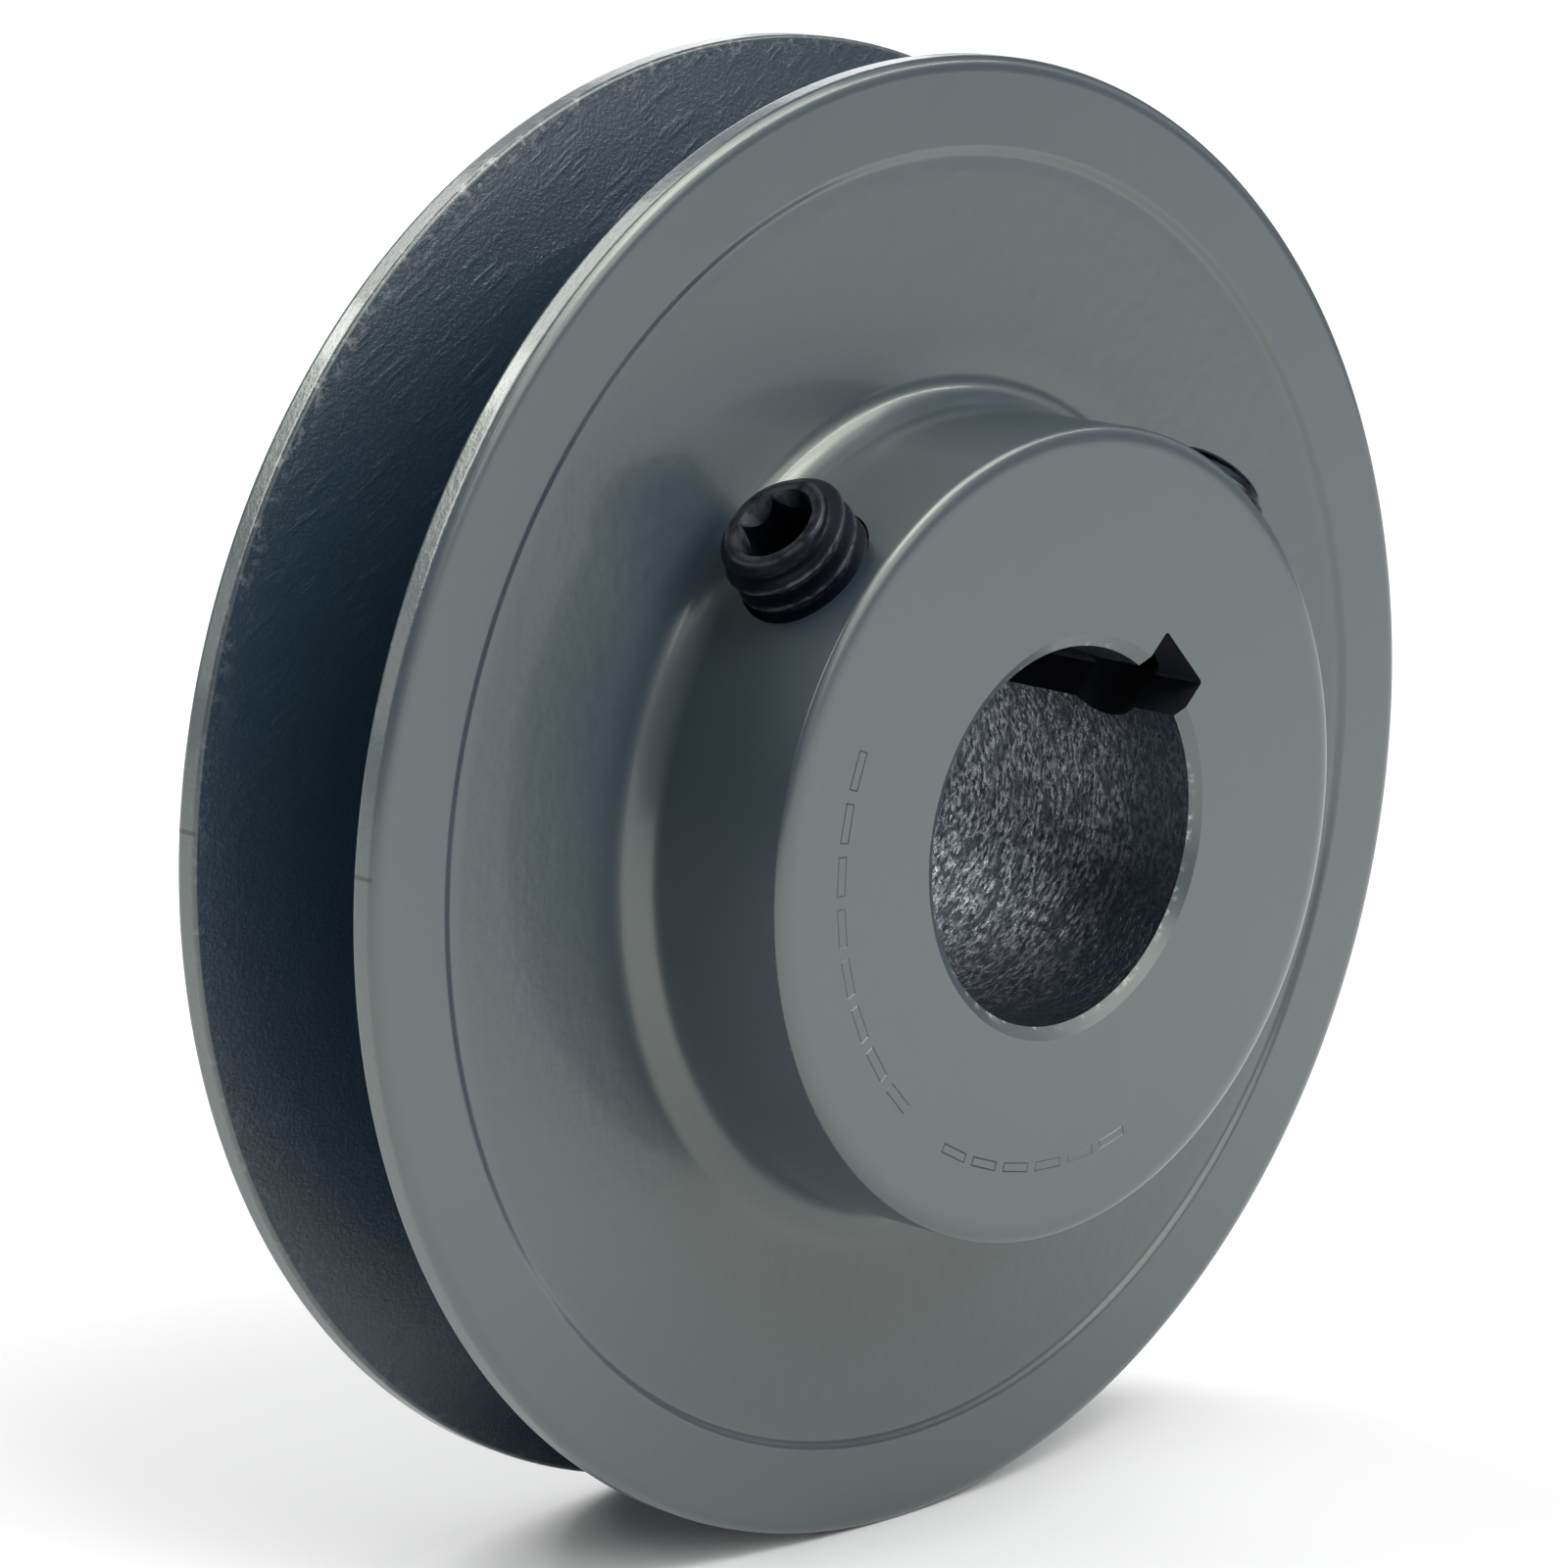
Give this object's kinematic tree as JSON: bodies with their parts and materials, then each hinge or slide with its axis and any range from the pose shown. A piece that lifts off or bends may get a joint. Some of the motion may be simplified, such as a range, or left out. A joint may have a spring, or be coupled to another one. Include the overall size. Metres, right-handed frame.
{
  "type": "v belt pulley",
  "caption": "Single-groove V-belt pulley with a keyed fixed bore and a long hub, clamped to its shaft by radial socket set screws.",
  "frame": {"origin": "on the bore's axis, in the middle plane of the belt groove", "axes": "+Y along the bore, away from the hub; the keyway points halfway between +X and +Z, and the side set screw halfway between -X and +Z"},
  "size_m": [0.0876, 0.0273, 0.0876],
  "materials": {
    "grey_enamel": "semi-gloss dark grey enamel on cast iron, machined on the rim and bore",
    "black_oxide": "black oxide on alloy steel, lightly oiled"
  },
  "bodies": {
    "pulley": {"pulley_body": "grey_enamel"},
    "keyway_screw": {"set_screw_keyway": "black_oxide"},
    "side_screw": {"set_screw_side": "black_oxide"}
  },
  "joints": [
    {"name": "keyway_screw_slide", "type": "slide", "parent": "pulley", "child": "keyway_screw", "axis": [0.7071, 0, 0.7071], "range_m": [-0.0029, 0.004]},
    {"name": "side_screw_slide", "type": "slide", "parent": "pulley", "child": "side_screw", "axis": [-0.7071, 0, 0.7071], "range_m": [-0.0066, 0.0028]}
  ]
}
